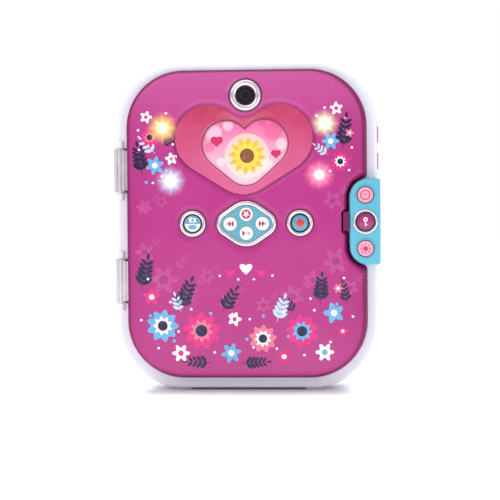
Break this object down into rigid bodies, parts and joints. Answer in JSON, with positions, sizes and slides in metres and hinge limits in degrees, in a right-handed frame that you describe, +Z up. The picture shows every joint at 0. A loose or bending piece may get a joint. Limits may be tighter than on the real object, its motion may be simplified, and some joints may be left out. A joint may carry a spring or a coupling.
{
  "type": "electronic secret diary",
  "caption": "Upright hinged diary case with a lockable pillowed cover, heart-shaped screen, camera window, push buttons, a storage tray and a notebook inside.",
  "frame": {"origin": "on the floor under the middle of the closed diary: midway across its widest points and midway through its depth", "axes": "+X to the viewer's right, from the hinges to the lock; +Y from the cover to the back; +Z up"},
  "size_m": [0.1856, 0.0462, 0.2268],
  "materials": {
    "base_white": "smooth satin",
    "tray_lilac": "fine texture",
    "notebook_card": "printed card",
    "page_paper": "uncoated",
    "ring_wire": "white coated wire",
    "cell_jacket": "printed jacket with bare ends",
    "contact_steel": "nickel plated",
    "screw_steel": "zinc plated",
    "foot_rubber": "matt",
    "speaker_steel": "zinc plated",
    "cone_paper": "soft cone",
    "board_green": "solder mask",
    "socket_black": "moulded",
    "flap_pink": "matt",
    "teal_plastic": "smooth gloss",
    "chrome_trim": "mirror plated",
    "switch_black": "moulded",
    "coil_copper": "enamelled wire",
    "latch_white": "slippery moulded",
    "latch_steel": "ground",
    "button_pink": "smooth with printed mark",
    "key_magenta": "domed and polished",
    "button_white": "smooth with printed mark",
    "photo_face": "two-tone print",
    "record_blue": "domed with printed dot",
    "clear_plastic": "clear moulded",
    "pin_steel": "ground",
    "lead_grey": "cable jacket",
    "cover_magenta": "smooth gloss with printed flowers",
    "panel_pink": "fine texture",
    "catch_purple": "smooth",
    "heart_coral": "smooth gloss, shaded",
    "window_clear": "clear and polished",
    "screen_face": "lit picture",
    "bracket_steel": "pressed sheet",
    "camera_glass": "dark polished window",
    "light_clear": "clear light guide"
  },
  "bodies": {
    "base": {"front_frame": "base_white", "rear_shell": "base_white", "storage_tray": "tray_lilac", "notebook_covers": "notebook_card", "notebook_pages": "page_paper", "notebook_rings": "ring_wire", "battery_cells": "cell_jacket", "battery_contacts": "contact_steel", "case_screws": "screw_steel", "feet": "foot_rubber", "speaker_frame": "speaker_steel", "speaker_cone": "cone_paper", "base_board": "board_green", "board_screws": "screw_steel", "usb_socket": "contact_steel", "audio_socket": "socket_black", "lock_housing": "teal_plastic", "lock_ring": "chrome_trim", "lock_board": "board_green", "lock_switches": "switch_black", "lock_coil": "coil_copper", "latch_spring": "latch_steel", "upper_hinge_pin": "pin_steel", "lower_hinge_bushes": "pin_steel", "base_lead": "lead_grey"},
    "cover": {"cover_shell": "cover_magenta", "cover_panel": "panel_pink", "cover_screws": "screw_steel", "catch_plate": "catch_purple", "heart_bezel": "heart_coral", "heart_window": "window_clear", "display_screen": "screen_face", "display_bracket": "bracket_steel", "camera_ring": "chrome_trim", "camera_window": "camera_glass", "camera_module": "socket_black", "pad_ring": "chrome_trim", "pad_panel": "teal_plastic", "side_rings": "chrome_trim", "main_board": "board_green", "cover_switches": "switch_black", "light_pipes": "light_clear", "upper_hinge": "clear_plastic", "lower_hinge": "clear_plastic", "cover_lead": "lead_grey"},
    "star_key": {"star_button": "button_white"},
    "rewind_key": {"rewind_button": "button_white"},
    "forward_key": {"forward_button": "button_white"},
    "play_key": {"play_button": "button_white"},
    "photo_key": {"photo_button": "photo_face"},
    "record_key": {"record_button": "record_blue"},
    "clock_key": {"clock_button": "button_pink"},
    "unlock_key": {"key_button": "key_magenta"},
    "light_key": {"light_button": "button_pink"},
    "latch": {"latch_bolt": "latch_white", "latch_plunger": "latch_steel"},
    "battery_hatch": {"battery_door": "base_white", "battery_door_screw": "screw_steel"},
    "usb_cap": {"usb_flap": "flap_pink"},
    "audio_cap": {"audio_flap": "flap_pink"}
  },
  "joints": [
    {"name": "cover_swing", "type": "hinge", "parent": "base", "child": "cover", "pos_m": [-0.0883, -0.0074, 0.1161], "axis": [0, 0, -1], "range_deg": [0, 170]},
    {"name": "latch_slide", "type": "slide", "parent": "base", "child": "latch", "axis": [-1, 0, 0], "range_m": [0, 0.0035]},
    {"name": "battery_door_lift", "type": "slide", "parent": "base", "child": "battery_hatch", "axis": [0, 1, 0], "range_m": [0, 0.02]},
    {"name": "usb_flap_swing", "type": "hinge", "parent": "base", "child": "usb_cap", "pos_m": [0.091, 0.013, 0.1782], "axis": [0, 0, 1], "range_deg": [0, 80]},
    {"name": "audio_flap_swing", "type": "hinge", "parent": "base", "child": "audio_cap", "pos_m": [0.091, 0.013, 0.1594], "axis": [0, 0, 1], "range_deg": [0, 80]},
    {"name": "star_press", "type": "slide", "parent": "cover", "child": "star_key", "axis": [0, 1, 0], "range_m": [0, 0.0008], "stiffness_N_per_m": 600},
    {"name": "rewind_press", "type": "slide", "parent": "cover", "child": "rewind_key", "axis": [0, 1, 0], "range_m": [0, 0.0008], "stiffness_N_per_m": 600},
    {"name": "forward_press", "type": "slide", "parent": "cover", "child": "forward_key", "axis": [0, 1, 0], "range_m": [0, 0.0008], "stiffness_N_per_m": 600},
    {"name": "play_press", "type": "slide", "parent": "cover", "child": "play_key", "axis": [0, 1, 0], "range_m": [0, 0.0008], "stiffness_N_per_m": 600},
    {"name": "photo_press", "type": "slide", "parent": "cover", "child": "photo_key", "axis": [0, 1, 0], "range_m": [0, 0.0008], "stiffness_N_per_m": 600},
    {"name": "record_press", "type": "slide", "parent": "cover", "child": "record_key", "axis": [0, 1, 0], "range_m": [0, 0.0008], "stiffness_N_per_m": 600},
    {"name": "clock_press", "type": "slide", "parent": "base", "child": "clock_key", "axis": [0, 1, 0], "range_m": [0, 0.0008], "stiffness_N_per_m": 600},
    {"name": "unlock_press", "type": "slide", "parent": "base", "child": "unlock_key", "axis": [0, 1, 0], "range_m": [0, 0.0008], "stiffness_N_per_m": 600},
    {"name": "light_press", "type": "slide", "parent": "base", "child": "light_key", "axis": [0, 1, 0], "range_m": [0, 0.0008], "stiffness_N_per_m": 600}
  ]
}
